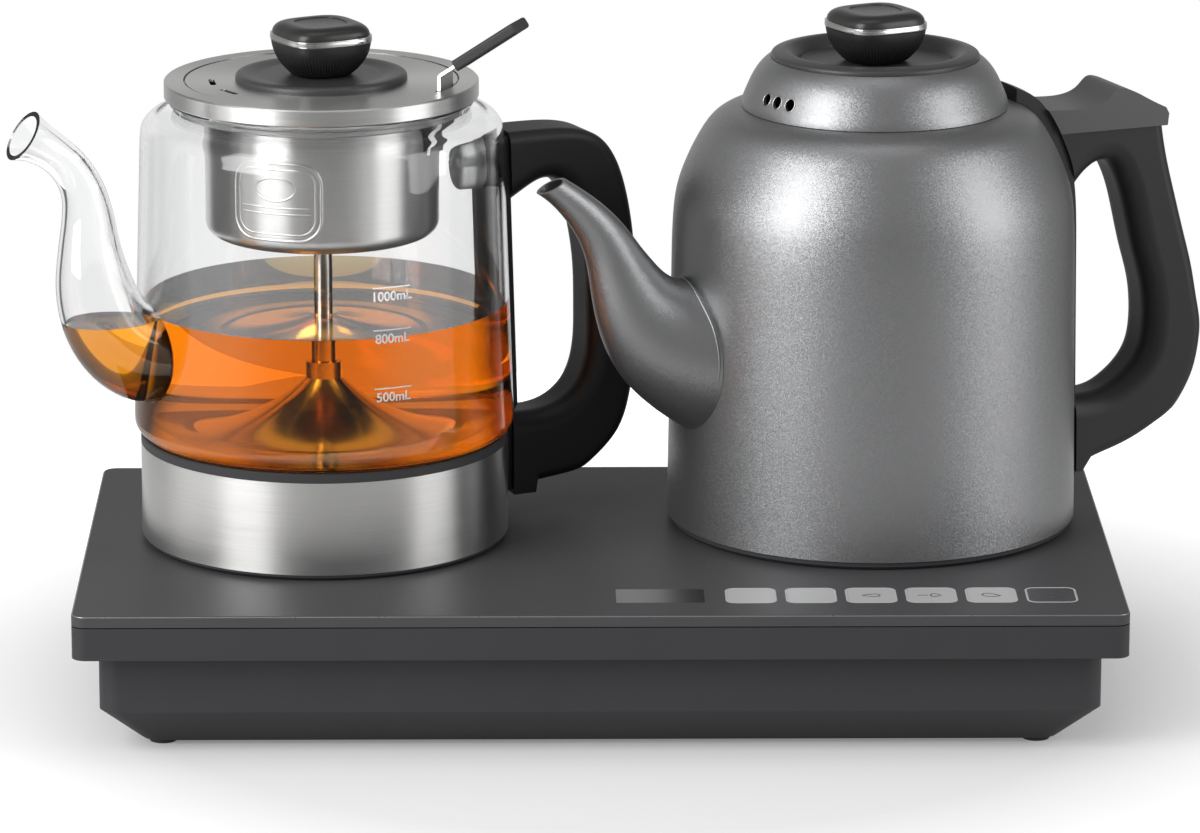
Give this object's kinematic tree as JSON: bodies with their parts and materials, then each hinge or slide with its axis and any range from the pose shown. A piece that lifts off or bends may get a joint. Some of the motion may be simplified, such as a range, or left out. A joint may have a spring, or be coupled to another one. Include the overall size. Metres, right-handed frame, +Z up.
{
  "type": "automatic tea maker",
  "caption": "Automatic tea maker: a powered base with a touch panel, a glass tea pot with a lift-out brewing basket and riser tube, and a grey steel gooseneck kettle with a lift-off lid.",
  "frame": {"origin": "centre of the whole part's outline, on the surface the feet stand on", "axes": "+X to the kettle's side, along the base's long side; +Y to the back, away from the touch panel; +Z up"},
  "size_m": [0.4331, 0.2052, 0.2483],
  "materials": {
    "charcoal_plastic": "satin moulded",
    "plate_glass": "satin, dark backed",
    "pad_silver": "satin print",
    "pad_dark": "satin print with a pale outline",
    "display_black": "smoked",
    "circuit_board": "coated board",
    "transformer_wrap": "taped",
    "foot_rubber": "matt",
    "fastener_steel": "plain",
    "clear_glass": "clear, fire polished",
    "brushed_steel": "brushed",
    "heater_aluminium": "cast",
    "handle_plastic": "satin",
    "grey_plastic": "satin",
    "knob_cap_plastic": "half gloss",
    "trim_metal": "satin plated",
    "silicone_clear": "translucent silicone",
    "silicone_dark": "silicone",
    "kettle_paint": "metallic grey, fine sparkle"
  },
  "bodies": {
    "base": {"glass_top_plate": "plate_glass", "touch_pads": "pad_silver", "power_pad": "pad_dark", "display_window": "display_black", "top_frame": "charcoal_plastic", "control_board": "circuit_board", "base_tub": "charcoal_plastic", "rubber_feet": "foot_rubber", "base_screws": "fastener_steel", "power_board": "circuit_board", "transformer": "transformer_wrap", "cord_gland": "charcoal_plastic", "pot_socket": "charcoal_plastic", "kettle_socket": "charcoal_plastic"},
    "pot": {"pot_coupler": "charcoal_plastic", "pot_bottom_cover": "charcoal_plastic", "pot_cover_screws": "fastener_steel", "pot_base_ring": "brushed_steel", "pot_trim_ring": "charcoal_plastic", "pot_heater_plate": "brushed_steel", "pot_floor_seal": "silicone_clear", "pot_heater": "heater_aluminium", "pot_glass": "clear_glass", "pot_spout": "clear_glass", "pot_handle_backbone": "handle_plastic", "pot_handle_screws": "fastener_steel", "pot_handle_boss": "silicone_clear", "pot_handle_grip": "handle_plastic", "pot_handle_strip": "handle_plastic"},
    "insert": {"riser_tube": "brushed_steel", "spray_funnel": "brushed_steel"},
    "basket": {"basket_shell": "brushed_steel", "basket_ring": "brushed_steel", "basket_seal": "silicone_clear", "lift_strap": "brushed_steel", "strap_sleeve": "silicone_dark"},
    "pot_lid": {"pot_lid_plate": "brushed_steel", "pot_lid_boss": "handle_plastic", "pot_knob_body": "handle_plastic", "pot_knob_trim": "trim_metal", "pot_knob_cap": "knob_cap_plastic"},
    "kettle": {"kettle_coupler": "charcoal_plastic", "kettle_bottom_cover": "charcoal_plastic", "kettle_cover_screws": "fastener_steel", "kettle_shell": "kettle_paint", "kettle_floor": "brushed_steel", "kettle_heater": "heater_aluminium", "kettle_spout": "kettle_paint", "kettle_handle_backbone": "handle_plastic", "kettle_handle_nuts": "fastener_steel", "kettle_handle_grip": "handle_plastic", "kettle_handle_strip": "handle_plastic", "kettle_thumb_plate": "grey_plastic"},
    "kettle_lid": {"kettle_lid_cone": "kettle_paint", "kettle_lid_disc": "handle_plastic", "kettle_lid_liner": "brushed_steel", "kettle_lid_seal": "silicone_clear", "kettle_knob_body": "handle_plastic", "kettle_knob_trim": "trim_metal", "kettle_knob_cap": "knob_cap_plastic"}
  },
  "joints": [
    {"name": "pot_lift", "type": "slide", "parent": "base", "child": "pot", "axis": [0, 0, 1], "range_m": [0, 0.2]},
    {"name": "insert_lift", "type": "slide", "parent": "pot", "child": "insert", "axis": [0, 0, 1], "range_m": [0, 0.18]},
    {"name": "basket_lift", "type": "slide", "parent": "insert", "child": "basket", "axis": [0, 0, 1], "range_m": [0, 0.12]},
    {"name": "pot_lid_lift", "type": "slide", "parent": "basket", "child": "pot_lid", "axis": [0, 0, 1], "range_m": [0, 0.1]},
    {"name": "kettle_lift", "type": "slide", "parent": "base", "child": "kettle", "axis": [0, 0, 1], "range_m": [0, 0.2]},
    {"name": "kettle_lid_lift", "type": "slide", "parent": "kettle", "child": "kettle_lid", "axis": [0, 0, 1], "range_m": [0, 0.1]}
  ]
}
